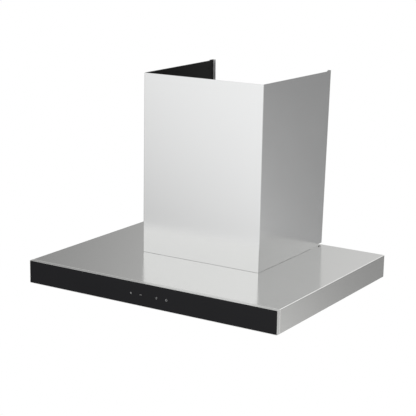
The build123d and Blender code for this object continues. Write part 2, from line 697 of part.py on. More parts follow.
def damper_flap(name, side, knuckle_starts):
    """Half-round non-return flap whose knuckles turn on the spindle; side is -1 front, 1 rear."""
    knuckle_length, root_gap = 18.0, 4.2
    far = collar_y + side * (flap_radius + 1)
    near = collar_y + side * root_gap
    with BuildPart() as flap:
        with BuildSketch(duct_axis.offset(spindle_z - flap_thickness / 2)):
            Circle(flap_radius)
        extrude(amount=flap_thickness)
        block((-80, 80), sorted((near, far)), (spindle_z - 1, spindle_z + 1), Mode.INTERSECT)
        for start in knuckle_starts:
            rod((start, collar_y, spindle_z), (1, 0, 0), 3.6, knuckle_length)
            bridge = sorted((collar_y, collar_y + side * (root_gap + 1)))
            block((start, start + knuckle_length), bridge, (spindle_z - 0.75, spindle_z + 0.75))
        bore = spindle_radius + running_clearance
        rod((-80, collar_y, spindle_z), (1, 0, 0), bore, 160, Mode.SUBTRACT)
    write(flap, f"damper_flap_{name}")


# --- chimney covers ---------------------------------------------------------------------------
def slab(bottom, top, low, high, mode=Mode.ADD):
    """Adds or cuts a block between two outlines, each a list of four corners, at two heights."""
    with BuildSketch(Plane.XY.offset(low)) as first:
        with BuildLine() as outline:
            Polyline(*bottom, close=True)
        make_face(outline.line.edges())
    with BuildSketch(Plane.XY.offset(high)) as last:
        with BuildLine() as outline:
            Polyline(*top, close=True)
        make_face(outline.line.edges())
    return loft([first.sketch.face(), last.sketch.face()], ruled=True, mode=mode)


def chimney_cover(half_width, front, rear, bottom, top, flange):
    """U of sheet open to the wall, with inward return flanges; the side walls spring out a little at the top."""

    def outline(front_half, rear_half, front_y, rear_y):
        return [(-front_half, front_y), (front_half, front_y), (rear_half, rear_y), (-rear_half, rear_y)]

    def at(flare, inset):
        inner = half_width - inset
        return outline(inner, inner + flare, front + inset, rear - inset)

    outer = slab(at(0, 0), at(cover_flare, 0), bottom, top)
    middle = (bottom + top) / 2
    upright = outer.edges().filter_by(lambda edge: abs(edge.center().Z - middle) < 1)
    fillet(upright.group_by(Axis.Y)[0], 1.2)
    slab(at(0, sheet), at(cover_flare, sheet), bottom, top, Mode.SUBTRACT)
    opening = half_width - flange
    slab(
        outline(opening, opening, rear - 2 * sheet, rear + 1),
        outline(opening + cover_flare, opening + cover_flare, rear - 2 * sheet, rear + 1),
        bottom,
        top,
        Mode.SUBTRACT,
    )


def lower_chimney_cover():
    """Visible chimney cover, standing on the canopy; its rear strip is a little taller, with a notch."""
    bottom, top = canopy_height + 0.3, canopy_height + chimney_height
    half, strip, step = chimney_width / 2, 16.0, 1.5
    with BuildPart() as cover:
        chimney_cover(half, -chimney_depth, 0.0, bottom, top + step, flange=7.5)
        block((-half - 20, half + 20), (-chimney_depth - 1, -strip), (top, top + step + 1), Mode.SUBTRACT)
        for _, side in SIDES:
            notch = sorted((side * (half + 1), side * (cover_inner_x - 10)))
            block(notch, (-strip, 0), (bottom, bottom + 3.5), Mode.SUBTRACT)
            for _, y, _ in cover_tab_points[:2]:
                tab = sorted((side * (cover_inner_x + sheet / 2), side * 136.0))
                block(tab, (y - 12, y + 12), (bottom, bottom + sheet))
        holes = [(x, y, bottom - 1) for x, y, _ in cover_tab_points]
        rods(holes, (0, 0, 1), screw_hole_radius, 4, Mode.SUBTRACT)
    write(cover, "lower_chimney_cover")


def upper_chimney_cover():
    """Telescopic inner cover, stored inside the lower one."""
    inset = 2.0
    with BuildPart() as cover:
        chimney_cover(
            chimney_width / 2 - inset,
            -chimney_depth + inset,
            -1.9,
            canopy_height + 5.0,
            canopy_height + chimney_height - 0.4,
            flange=5.5,
        )
        # one drill goes straight through both walls, for the bracket at the ceiling
        reach, drill = chimney_width / 2 + 15, 2.2
        rod((reach, -24, 424), (-1, 0, 0), drill, 2 * reach, Mode.SUBTRACT)
        bores = cover.faces().filter_by(GeomType.CYLINDER)
        bores = [bore for bore in bores if abs(bore.radius - drill) < 0.01]
        assert len(bores) == 2, "each side wall needs its bracket hole"
    write(cover, "upper_chimney_cover")


# --- power box and wiring ---------------------------------------------------------------------
def power_box():
    """Plastic box on the front of the motor box: base, lid, board and the gland for the mains lead."""
    x, z = (-power_half_width, power_half_width), (power_bottom, power_top)
    split = power_front + 10
    with BuildPart() as base:
        block(x, (split, box_front), z)
        fillet(base.edges().filter_by(Axis.Y), 4)
        block(
            (x[0] + power_wall, x[1] - power_wall),
            (split, box_front - power_wall),
            (z[0] + power_wall, z[1] - power_wall),
            Mode.SUBTRACT,
        )
        rod((gland_x, gland_y, power_top - 3), (0, 0, 1), 7.0, 5, Mode.SUBTRACT)
        rod((grommet_x, gland_y, power_bottom - 1), (0, 0, 1), 7.0, 5, Mode.SUBTRACT)
        rod((-30, box_front - 5, 205), (0, 1, 0), 5.0, 6, Mode.SUBTRACT)
    write(base, "power_box_base")

    with BuildPart() as lid:
        block(x, (power_front, split), z)
        fillet(lid.edges().filter_by(Axis.Y), 4)
        fillet(lid.faces().sort_by(Axis.Y)[0].edges(), 2)
        block(
            (x[0] + power_wall, x[1] - power_wall),
            (power_front + power_wall, split),
            (z[0] + power_wall, z[1] - power_wall),
            Mode.SUBTRACT,
        )
    write(lid, "power_box_lid")

    with BuildPart() as board:
        block((-60, 34), (-244, -242.4), (165, 256))
        block((-52, -14), (-262, -244), (215, 250))  # transformer
        block((6, 30), (-256, -244), (170, 182))  # relays
        block((6, 30), (-256, -244), (186, 198))
        block((-50, 0), (-254, -244), (168, 178))  # terminal block
    write(board, "power_board")

    with BuildPart() as gland:
        rod((gland_x, gland_y, power_top), (0, 0, 1), 9.5, 4)
        rod((gland_x, gland_y, power_top - 4), (0, 0, 1), 6.9, 4)
        rod((gland_x, gland_y, power_top + 4), (0, 0, 1), 7.5, gland_length - 8)
        fillet(gland.edges().group_by(Axis.Z)[-1], 1.5)
        rod((gland_x, gland_y, power_top - 5), (0, 0, 1), gland_bore, gland_length + 2, Mode.SUBTRACT)
    write(gland, "cord_gland")

    with BuildPart() as grommet:
        at = Plane(origin=(grommet_x, grommet_y, 0))
        with BuildSketch(at.offset(canopy_height - sheet - 2)):
            Circle(11)
        extrude(amount=2)
        with BuildSketch(at.offset(canopy_height - sheet)):
            Circle(8.9)
        extrude(amount=sheet)
        with BuildSketch(at.offset(canopy_height)):
            Circle(11)
        extrude(amount=2)
        with BuildSketch(at.offset(canopy_height - sheet - 3)):
            Circle(6.5)
        extrude(amount=8, mode=Mode.SUBTRACT)
    write(grommet, "cable_grommet")


def lead(points, radii, radius):
    """Adds one insulated lead to the part being built, along straight runs joined by arcs."""
    with BuildLine() as route:
        FilletPolyline(*points, radius=radii)
    with BuildSketch(Plane(origin=route.line @ 0, z_dir=route.line % 0)) as section:
        Circle(radius)
    sweep(section.sketch, path=route.line)


def wiring():
    """Leads that stay inside the hood, clipped along the canopy and up to the power box."""
    run_z, lead_radius = 38.0, 1.8
    entry_z = power_bottom + 4
    with BuildPart() as lamp_leads:
        for _, side in SIDES:
            x_in = grommet_x - 2.2 + side * 2.2
            points = [
                (side * lamp_x, lamp_y, 19.5),
                (side * lamp_x, lamp_y, run_z),
                (side * lamp_x - side * 60, lamp_y + 60 + side * 2, run_z),
                (x_in, grommet_y, run_z),
                (x_in, grommet_y + 1, 70),
                (x_in, gland_y, 110),
                (x_in, gland_y, entry_z),
            ]
            lead(points, [9, 40, 9, 14, 30], lead_radius)
    write(lamp_leads, "lamp_leads")

    back = shell_inner_front + 12.6
    with BuildPart() as touch_lead:
        x = board_centre_x + 30
        points = [
            (x, back - 2.5, 31),
            (x, back + 14, 31),
            (x + 8, -420, run_z - 5),
            (grommet_x + 4.2, -330, run_z - 5),
            (grommet_x + 4.2, grommet_y + 0.4, run_z - 5),
            (grommet_x + 4.2, grommet_y + 1, 70),
            (grommet_x + 4.2, gland_y, 110),
            (grommet_x + 4.2, gland_y, entry_z),
        ]
        lead(points, [8, 20, 30, 9, 14, 30], 1.6)
    write(touch_lead, "touch_lead")

    with BuildPart() as motor_lead:
        points = [
            (-30, -242, 205),
            (-30, box_front + 14, 205),
            (-105, box_front + 14, 195),
            (-105, fan_y + 27, 180),
            (-105, fan_y + 27, fan_z),
            (motor_left + 1, fan_y + 27, fan_z),
        ]
        lead(points, [6, 12, 8, 6], 1.6)
    write(motor_lead, "motor_lead")


canopy_shell()
underside_panel()
fascia_frame()
front_glass()
glass_tape()
touch_controls()
for side_name, side_sign in SIDES:
    grease_filter(side_name, side_sign)
    lamp(side_name, side_sign)
    volute_half(side_name, side_sign)
    inlet_ring(side_name, side_sign)
lamp_boards()
motor_box()
impeller()
rotating_core()
motor()
run_capacitor()
outlet_collar()
damper_flap("front", -1, (-62.0, -18.0, 26.0))
damper_flap("rear", 1, (-40.0, 4.0, 48.0))
lower_chimney_cover()
upper_chimney_cover()
power_box()
wiring()
pan_screws(
    [(x, y, canopy_height + box_sheet) for x, y, _ in motor_box_points], (0, 0, 1), 4.0, "motor_box_screws"
)
pan_screws(
    [(x, y, rim_flange_z - sheet) for x, y, _ in underside_points],
    (0, 0, -1),
    3.5,
    "underside_screws",
    head_height=1.4,
)
pan_screws(fascia_points, (0, 1, 0), 4.7, "fascia_screws")
pan_screws([(x, y, box_top + 3) for x, y, _ in collar_points], (0, 0, 1), 8.0, "collar_screws")
pan_screws(
    [(x, y, canopy_height + 0.3 + sheet) for x, y, _ in cover_tab_points], (0, 0, 1), 4.0, "cover_screws"
)
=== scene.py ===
# %% [markdown]
# # A chimney range hood, finished in Blender
# The folded sheets, the blower and the filters come from the CAD frame at their real size, in metres.
# This lesson gives each of them a finish, and makes the few pieces that are better made as
# surfaces here: the filters' expanded metal, the ribbed lamp lenses, the printed touch keys and the
# latch springs.

import json
import math

import bmesh
import bpy
import numpy as np
from mathutils import Matrix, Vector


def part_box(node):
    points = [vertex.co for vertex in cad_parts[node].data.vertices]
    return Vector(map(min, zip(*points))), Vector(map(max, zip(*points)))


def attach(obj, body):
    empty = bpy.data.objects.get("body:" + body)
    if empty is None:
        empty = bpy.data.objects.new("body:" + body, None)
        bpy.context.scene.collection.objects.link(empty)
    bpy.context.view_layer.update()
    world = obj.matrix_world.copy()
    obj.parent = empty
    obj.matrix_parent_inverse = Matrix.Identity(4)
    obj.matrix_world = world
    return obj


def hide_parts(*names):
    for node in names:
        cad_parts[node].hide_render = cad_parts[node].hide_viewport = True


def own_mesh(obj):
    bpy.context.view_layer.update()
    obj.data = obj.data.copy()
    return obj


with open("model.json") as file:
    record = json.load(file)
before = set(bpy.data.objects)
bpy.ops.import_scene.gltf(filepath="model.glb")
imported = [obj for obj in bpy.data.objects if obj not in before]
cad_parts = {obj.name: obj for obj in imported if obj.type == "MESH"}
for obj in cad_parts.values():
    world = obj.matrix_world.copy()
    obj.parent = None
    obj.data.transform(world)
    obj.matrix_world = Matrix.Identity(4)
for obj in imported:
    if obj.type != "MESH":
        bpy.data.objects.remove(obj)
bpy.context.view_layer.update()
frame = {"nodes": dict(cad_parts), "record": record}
record = frame["record"]

# %% [markdown]
# ## Building node trees
# A finish on a real sheet or moulding is never one flat value: it changes a little over the
# surface. Every material here is a small node tree, so two helpers keep the trees readable. One adds
# a node and fills or links its inputs, and the other opens a shared group with named sockets.


# %% Helpers for node trees
def add(tree, kind, inputs=None, **settings):
    """Adds a node, sets its properties, and fills each input with a value or links it to an output."""
    node = tree.nodes.new(kind)
    for key, value in settings.items():
        setattr(node, key, value)
    for key, value in (inputs or {}).items():
        if isinstance(value, bpy.types.NodeSocket):
            tree.links.new(value, node.inputs[key])
        else:
            node.inputs[key].default_value = value
    return node


def open_group(name, inputs, outputs):
    """Starts a shared node group; inputs and outputs map a socket name to its type and default."""
    tree = bpy.data.node_groups.new(name, "ShaderNodeTree")
    for socket, (kind, value) in inputs.items():
        made = tree.interface.new_socket(socket, in_out="INPUT", socket_type=kind)
        made.default_value = value
    for socket, kind in outputs.items():
        tree.interface.new_socket(socket, in_out="OUTPUT", socket_type=kind)
    return tree, tree.nodes.new("NodeGroupInput"), tree.nodes.new("NodeGroupOutput")


NUMBER, VECTOR, COLOUR = "NodeSocketFloat", "NodeSocketVector", "NodeSocketColor"

# %% [markdown]
# ## Brushed grain
# Stainless sheet is brushed with a belt, which leaves long fine scratches in one direction. They
# could be an image of brushed metal, but noise squeezed across the grain and stretched along it
# gives the same streaks at any distance. Faces that look along the grain would show dots in place of
# lines, so the group takes a second stretch for the side faces.


# %% Group: brushed grain
def make_brushed_grain():
    """Streak = noise of (position times stretch); roughness and colour run between two ends with it."""
    tree, given, out = open_group(
        "Brushed Grain",
        {
            "Light Colour": (COLOUR, (0.8, 0.8, 0.8, 1)),
            "Dark Colour": (COLOUR, (0.7, 0.7, 0.7, 1)),
            "Stretch": (VECTOR, (30, 2500, 2500)),
            "Side Stretch": (VECTOR, (2500, 30, 2500)),
            "Roughness Low": (NUMBER, 0.25),
            "Roughness High": (NUMBER, 0.4),
            "Depth": (NUMBER, 0.2),
        },
        {"Color": COLOUR, "Roughness": NUMBER, "Normal": VECTOR},
    )
    place = add(tree, "ShaderNodeTexCoord")
    facing = add(tree, "ShaderNodeSeparateXYZ", {0: place.outputs["Normal"]})
    sideways = add(tree, "ShaderNodeMath", {0: facing.outputs["X"]}, operation="ABSOLUTE")
    is_side = add(tree, "ShaderNodeMath", {0: sideways.outputs[0], 1: 0.7}, operation="GREATER_THAN")
    stretch = add(
        tree,
        "ShaderNodeMix",
        {0: is_side.outputs[0], 4: given.outputs["Stretch"], 5: given.outputs["Side Stretch"]},
        data_type="VECTOR",
    )
    squeezed = add(
        tree,
        "ShaderNodeVectorMath",
        {0: place.outputs["Object"], 1: stretch.outputs[1]},
        operation="MULTIPLY",
    )
    streak = add(tree, "ShaderNodeTexNoise", {"Vector": squeezed.outputs[0], "Scale": 1.0, "Detail": 3.0})
    cloud = add(tree, "ShaderNodeTexNoise", {"Vector": place.outputs["Object"], "Scale": 7.0, "Detail": 2.0})
    both = add(tree, "ShaderNodeMath", {0: streak.outputs[0], 1: 0.75}, operation="MULTIPLY")
    mask = add(
        tree, "ShaderNodeMath", {0: cloud.outputs[0], 1: 0.25, 2: both.outputs[0]}, operation="MULTIPLY_ADD"
    )
    colour = add(
        tree,
        "ShaderNodeMix",
        {0: mask.outputs[0], 6: given.outputs["Dark Colour"], 7: given.outputs["Light Colour"]},
        data_type="RGBA",
    )
    roughness = add(
        tree,
        "ShaderNodeMapRange",
        {
            0: mask.outputs[0],
            1: 0.3,
            2: 0.7,
            3: given.outputs["Roughness Low"],
            4: given.outputs["Roughness High"],
        },
    )
    bump = add(
        tree,
        "ShaderNodeBump",
        {"Height": streak.outputs[0], "Strength": given.outputs["Depth"], "Distance": 0.00003},
    )
    tree.links.new(colour.outputs[2], out.inputs["Color"])
    tree.links.new(roughness.outputs[0], out.inputs["Roughness"])
    tree.links.new(bump.outputs[0], out.inputs["Normal"])
    return tree


brushed_grain = make_brushed_grain()
print("group:", brushed_grain.name)

# %% [markdown]
# ## Moulded skin
# Injection-moulded plastic and rubber carry the fine spark-eroded texture of their mould, with
# slightly shinier patches where hands and tools have rubbed. The group puts out a colour, a roughness
# and a normal from two sizes of noise.


# %% Group: moulded skin
def make_moulded_skin():
    """Fine noise gives the dimples; broad noise moves the colour and the roughness between two ends."""
    tree, given, out = open_group(
        "Moulded Skin",
        {
            "Colour": (COLOUR, (0.05, 0.05, 0.05, 1)),
            "Rubbed Colour": (COLOUR, (0.08, 0.08, 0.08, 1)),
            "Grain Size": (NUMBER, 1800.0),
            "Depth": (NUMBER, 0.3),
            "Roughness Low": (NUMBER, 0.45),
            "Roughness High": (NUMBER, 0.6),
        },
        {"Color": COLOUR, "Roughness": NUMBER, "Normal": VECTOR},
    )
    place = add(tree, "ShaderNodeTexCoord")
    fine = add(
        tree,
        "ShaderNodeTexNoise",
        {"Vector": place.outputs["Object"], "Scale": given.outputs["Grain Size"], "Detail": 2.0},
    )
    broad = add(tree, "ShaderNodeTexNoise", {"Vector": place.outputs["Object"], "Scale": 22.0, "Detail": 4.0})
    rubbed = add(tree, "ShaderNodeMapRange", {0: broad.outputs[0], 1: 0.42, 2: 0.68, 3: 0.0, 4: 1.0})
    colour = add(
        tree,
        "ShaderNodeMix",
        {0: rubbed.outputs[0], 6: given.outputs["Colour"], 7: given.outputs["Rubbed Colour"]},
        data_type="RGBA",
    )
    roughness = add(
        tree,
        "ShaderNodeMapRange",
        {0: rubbed.outputs[0], 3: given.outputs["Roughness High"], 4: given.outputs["Roughness Low"]},
    )
    bump = add(
        tree,
        "ShaderNodeBump",
        {"Height": fine.outputs[0], "Strength": given.outputs["Depth"], "Distance": 0.00008},
    )
    tree.links.new(colour.outputs[2], out.inputs["Color"])
    tree.links.new(roughness.outputs[0], out.inputs["Roughness"])
    tree.links.new(bump.outputs[0], out.inputs["Normal"])
    return tree


moulded_skin = make_moulded_skin()
print("group:", moulded_skin.name)

# %% [markdown]
# ## Zinc spangle
# Hot-dip galvanised sheet freezes into flat crystals a few millimetres across, each a slightly
# different grey. Voronoi cells are those crystals; a broader noise shifts them and breaks up their pattern.


# %% Group: zinc spangle
def make_zinc_spangle():
    """Each Voronoi cell takes its own grey and its own roughness from the cell's random colour."""
    tree, given, out = open_group(
        "Zinc Spangle",
        {
            "Light Colour": (COLOUR, (0.75, 0.76, 0.77, 1)),
            "Dark Colour": (COLOUR, (0.45, 0.46, 0.48, 1)),
            "Crystals": (NUMBER, 160.0),
        },
        {"Color": COLOUR, "Roughness": NUMBER},
    )
    place = add(tree, "ShaderNodeTexCoord")
    wander = add(
        tree, "ShaderNodeTexNoise", {"Vector": place.outputs["Object"], "Scale": 60.0, "Detail": 1.0}
    )
    shift = add(tree, "ShaderNodeVectorMath", {0: wander.outputs[1], "Scale": 0.006}, operation="SCALE")
    moved = add(
        tree, "ShaderNodeVectorMath", {0: place.outputs["Object"], 1: shift.outputs[0]}, operation="ADD"
    )
    cells = add(
        tree, "ShaderNodeTexVoronoi", {"Vector": moved.outputs[0], "Scale": given.outputs["Crystals"]}
    )
    grey = add(tree, "ShaderNodeSeparateColor", {0: cells.outputs["Color"]})
    colour = add(
        tree,
        "ShaderNodeMix",
        {0: grey.outputs[0], 6: given.outputs["Dark Colour"], 7: given.outputs["Light Colour"]},
        data_type="RGBA",
    )
    roughness = add(tree, "ShaderNodeMapRange", {0: grey.outputs[1], 3: 0.32, 4: 0.55})
    tree.links.new(colour.outputs[2], out.inputs["Color"])
    tree.links.new(roughness.outputs[0], out.inputs["Roughness"])
    return tree


zinc_spangle = make_zinc_spangle()
print("group:", zinc_spangle.name)

# %% [markdown]
# ## Handling marks
# Polished glass and sheet pick up faint wipe marks, which show only as patches of duller shine. The
# group stretches noise along the wiping direction and keeps only its peaks.


# %% Group: handling marks
def make_handling_marks():
    """Marks = the peaks of stretched noise; roughness rises from the clean value where a mark lies."""
    tree, given, out = open_group(
        "Handling Marks",
        {
            "Clean": (NUMBER, 0.05),
            "Marked": (NUMBER, 0.16),
            "Stretch": (VECTOR, (6, 6, 30)),
        },
        {"Roughness": NUMBER, "Mask": NUMBER},
    )
    place = add(tree, "ShaderNodeTexCoord")
    wiped = add(
        tree,
        "ShaderNodeVectorMath",
        {0: place.outputs["Object"], 1: given.outputs["Stretch"]},
        operation="MULTIPLY",
    )
    noise = add(tree, "ShaderNodeTexNoise", {"Vector": wiped.outputs[0], "Scale": 1.0, "Detail": 5.0})
    mask = add(tree, "ShaderNodeMapRange", {0: noise.outputs[0], 1: 0.5, 2: 0.75, 3: 0.0, 4: 1.0})
    roughness = add(
        tree,
        "ShaderNodeMapRange",
        {0: mask.outputs[0], 3: given.outputs["Clean"], 4: given.outputs["Marked"]},
    )
    tree.links.new(roughness.outputs[0], out.inputs["Roughness"])
    tree.links.new(mask.outputs[0], out.inputs["Mask"])
    return tree


handling_marks = make_handling_marks()
print("group:", handling_marks.name)


# %% [markdown]
# ## Materials
# One function opens a material with its Principled shader. Plain numbers that hold all over a
# surface, such as metallic or the coat, are set straight on the shader, and only what varies is linked.


# %% Helpers for materials
def open_material(name, **values):
    """Starts a material and sets plain values on its Principled shader."""
    made = bpy.data.materials.new(name)
    made.use_nodes = True
    tree = made.node_tree
    shader = tree.nodes["Principled BSDF"]
    for key, value in values.items():
        shader.inputs[key.replace("_", " ")].default_value = value
    return made, tree, shader


def use_group(tree, shader, group, inputs, outputs):
    """Places a shared group with its own values and links the listed outputs to the shader."""
    node = add(tree, "ShaderNodeGroup", node_tree=group)
    for key, value in inputs.items():
        node.inputs[key].default_value = value
    for source, target in outputs.items():
        tree.links.new(node.outputs[source], shader.inputs[target])
    return node


GRAIN_OUT = {"Color": "Base Color", "Roughness": "Roughness", "Normal": "Normal"}


def brushed(name, light, dark, low, high, stretch, side_stretch, depth=0.2, **values):
    """A brushed or ground metal finish."""
    made, tree, shader = open_material(name, Metallic=1.0, **values)
    settings = {
        "Light Colour": (*light, 1),
        "Dark Colour": (*dark, 1),
        "Stretch": stretch,
        "Side Stretch": side_stretch,
        "Roughness Low": low,
        "Roughness High": high,
        "Depth": depth,
    }
    use_group(tree, shader, brushed_grain, settings, GRAIN_OUT)
    return made


def moulded(name, colour, rubbed, low, high, size=1800.0, depth=0.3, **values):
    """A moulded plastic or rubber finish."""
    made, tree, shader = open_material(name, **values)
    settings = {
        "Colour": (*colour, 1),
        "Rubbed Colour": (*rubbed, 1),
        "Grain Size": size,
        "Depth": depth,
        "Roughness Low": low,
        "Roughness High": high,
    }
    use_group(tree, shader, moulded_skin, settings, GRAIN_OUT)
    return made


ALONG_X, ALONG_Y, ALONG_Z = (28, 2600, 2600), (2600, 28, 2600), (2600, 2600, 28)

# %% [markdown]
# ### Stainless sheet
# The canopy is brushed from side to side, and the chimney covers up and down, as the flat blanks
# are before folding. The fascia frame is the same steel with a brighter, finer grain.

# %% Stainless finishes
shell_steel = brushed(
    "canopy steel", (0.84, 0.84, 0.825), (0.78, 0.78, 0.765), 0.12, 0.17, ALONG_X, ALONG_Y, 0.5
)
fascia_steel = brushed(
    "fascia steel", (0.80, 0.80, 0.79), (0.72, 0.72, 0.71), 0.24, 0.34, ALONG_X, ALONG_Y, 0.12
)
panel_steel = brushed(
    "underside steel", (0.72, 0.72, 0.71), (0.62, 0.62, 0.61), 0.28, 0.42, ALONG_X, ALONG_Y, 0.2
)
print("stainless finishes for the canopy, the fascia and the underside")

# %% [markdown]
# ### Chimney covers
# Outside, the covers are brushed steel. Inside, the walls are near-black as painted shade for the dim
# inside of the cover. The painted shade lies on the faces that look inwards: side walls whose outward
# direction points back to the middle, and the back of the front wall.


# %% Chimney cover finish
def cover_finish(name, front_face, light, dark):
    """Brushed steel outside, near-black painted shade inside, and a near-white painted reflection on the rear
    flanges.
    """
    made, tree, shader = open_material(name, Specular_IOR_Level=0.2)
    grain = add(tree, "ShaderNodeGroup", node_tree=brushed_grain)
    settings = {
        "Light Colour": (*light, 1),
        "Dark Colour": (*dark, 1),
        "Stretch": ALONG_Z,
        "Side Stretch": ALONG_Z,
        "Roughness Low": 0.14,
        "Roughness High": 0.20,
        "Depth": 0.5,
    }
    for key, value in settings.items():
        grain.inputs[key].default_value = value
    place = add(tree, "ShaderNodeTexCoord")
    where = add(tree, "ShaderNodeSeparateXYZ", {0: place.outputs["Object"]})
    facing = add(tree, "ShaderNodeSeparateXYZ", {0: place.outputs["Normal"]})
    product = add(
        tree, "ShaderNodeMath", {0: where.outputs["X"], 1: facing.outputs["X"]}, operation="MULTIPLY"
    )
    side_wall = add(tree, "ShaderNodeMath", {0: product.outputs[0], 1: -0.06}, operation="LESS_THAN")
    looks_back = add(tree, "ShaderNodeMath", {0: facing.outputs["Y"], 1: 0.5}, operation="GREATER_THAN")
    at_front = add(
        tree, "ShaderNodeMath", {0: where.outputs["Y"], 1: front_face + 0.01}, operation="LESS_THAN"
    )
    front_wall = add(
        tree, "ShaderNodeMath", {0: looks_back.outputs[0], 1: at_front.outputs[0]}, operation="MULTIPLY"
    )
    inside = add(
        tree, "ShaderNodeMath", {0: side_wall.outputs[0], 1: front_wall.outputs[0]}, operation="MAXIMUM"
    )
    # Painted shade: the inward faces of the walls are near-black in place of the shade inside the cover.
    colour = add(
        tree,
        "ShaderNodeMix",
        {0: inside.outputs[0], 6: grain.outputs["Color"], 7: (0.012, 0.012, 0.012, 1)},
        data_type="RGBA",
    )
    looks_out = add(tree, "ShaderNodeMath", {0: facing.outputs["Y"], 1: -0.5}, operation="LESS_THAN")
    at_rear = add(tree, "ShaderNodeMath", {0: where.outputs["Y"], 1: -0.01}, operation="GREATER_THAN")
    flange = add(
        tree, "ShaderNodeMath", {0: looks_out.outputs[0], 1: at_rear.outputs[0]}, operation="MULTIPLY"
    )
    # Painted reflection: the rear flanges are a flat near-white in place of the bright shine of their steel.
    colour = add(
        tree,
        "ShaderNodeMix",
        {0: flange.outputs[0], 6: colour.outputs[2], 7: (0.80, 0.80, 0.80, 1)},
        data_type="RGBA",
    )
    # The painted shade and the painted reflection both drop the metal and turn rough.
    painted_faces = add(tree, "ShaderNodeMath", {0: inside.outputs[0], 1: flange.outputs[0]}, operation="MAXIMUM")
    metallic = add(tree, "ShaderNodeMapRange", {0: painted_faces.outputs[0], 3: 1.0, 4: 0.0})
    roughness = add(
        tree, "ShaderNodeMix", {0: painted_faces.outputs[0], 2: grain.outputs["Roughness"], 3: 0.7}, data_type="FLOAT"
    )
    tree.links.new(colour.outputs[2], shader.inputs["Base Color"])
    tree.links.new(metallic.outputs[0], shader.inputs["Metallic"])
    tree.links.new(roughness.outputs[0], shader.inputs["Roughness"])
    tree.links.new(grain.outputs["Normal"], shader.inputs["Normal"])
    return made


lower_cover_steel = cover_finish(
    "lower cover steel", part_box("lower_chimney_cover")[0].y, (0.82, 0.825, 0.825), (0.77, 0.775, 0.775)
)
upper_cover_steel = cover_finish(
    "upper cover steel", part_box("upper_chimney_cover")[0].y, (0.82, 0.825, 0.825), (0.77, 0.775, 0.775)
)
print("cover finishes with their painted inner shade")

# %% [markdown]
# ### Black glass
# The touch panel is clear glass printed black on its back. Seen from outside it is a dark body
# under a polished surface, so an opaque dark colour with a smooth, weak reflection stands for it, with
# wipe marks in the shine.

# %% Black glass finish
black_glass, glass_tree, glass_shader = open_material(
    "black glass", IOR=1.5, Specular_IOR_Level=0.15, Coat_Weight=0.0
)
use_group(
    glass_tree,
    glass_shader,
    handling_marks,
    {"Clean": 0.06, "Marked": 0.13, "Stretch": (14, 14, 60)},
    {"Roughness": "Roughness"},
)
glass_place = add(glass_tree, "ShaderNodeTexCoord")
glass_noise = add(
    glass_tree, "ShaderNodeTexNoise", {"Vector": glass_place.outputs["Object"], "Scale": 9.0, "Detail": 3.0}
)
glass_tone = add(
    glass_tree,
    "ShaderNodeMix",
    {0: glass_noise.outputs[0], 6: (0.0125, 0.0125, 0.0142, 1), 7: (0.0160, 0.0160, 0.0180, 1)},
    data_type="RGBA",
)
glass_tree.links.new(glass_tone.outputs[2], glass_shader.inputs["Base Color"])
print("black glass")

# %% [markdown]
# ### Zinc, aluminium and bright steel
# The motor box is galvanised, the filters and lamps are satin aluminium, and the screws, springs
# and shafts are bright steel. Turned parts have their grain round the fan shaft, which runs along X,
# so their streaks are squeezed along X.

# %% Metal finishes
galvanised, zinc_tree, zinc_shader = open_material("galvanised sheet", Metallic=0.85)
use_group(
    zinc_tree,
    zinc_shader,
    zinc_spangle,
    {"Light Colour": (0.66, 0.67, 0.68, 1), "Dark Colour": (0.46, 0.47, 0.49, 1), "Crystals": 150.0},
    {"Color": "Base Color", "Roughness": "Roughness"},
)
aluminium = brushed(
    "satin aluminium", (0.84, 0.84, 0.84), (0.72, 0.72, 0.73), 0.3, 0.45, ALONG_Y, ALONG_Y, 0.2
)
rolled, plated = (300, 900, 900), (900, 900, 900)
mesh_aluminium = brushed(
    "expanded aluminium", (0.80, 0.80, 0.80), (0.66, 0.66, 0.67), 0.32, 0.5, rolled, rolled, 0.25
)
lamp_metal = brushed(
    "lamp aluminium", (0.82, 0.82, 0.82), (0.74, 0.74, 0.75), 0.2, 0.34, ALONG_X, ALONG_Y, 0.15
)
bright_wire = brushed("spring wire", (0.80, 0.79, 0.77), (0.62, 0.61, 0.60), 0.18, 0.3, ALONG_Z, ALONG_Z, 0.1)
zinc_plate = brushed(
    "zinc plated steel", (0.78, 0.77, 0.72), (0.62, 0.61, 0.58), 0.22, 0.38, plated, plated, 0.15
)
turned = (2600, 40, 40)
ground_steel = brushed(
    "ground shaft", (0.76, 0.76, 0.76), (0.62, 0.62, 0.62), 0.12, 0.24, turned, turned, 0.1
)
turned_hub = brushed("turned hub", (0.80, 0.80, 0.80), (0.66, 0.66, 0.66), 0.2, 0.34, turned, turned, 0.2)
lamination = brushed(
    "stacked laminations", (0.42, 0.42, 0.43), (0.22, 0.22, 0.23), 0.4, 0.6, turned, turned, 0.6
)
print("metal finishes")

# %% [markdown]
# ### Plastics, rubber and paint
# Each has the same kind of skin at a different size: coarse on the scroll housing, fine on the
# latch and the leads, almost none on the painted motor.

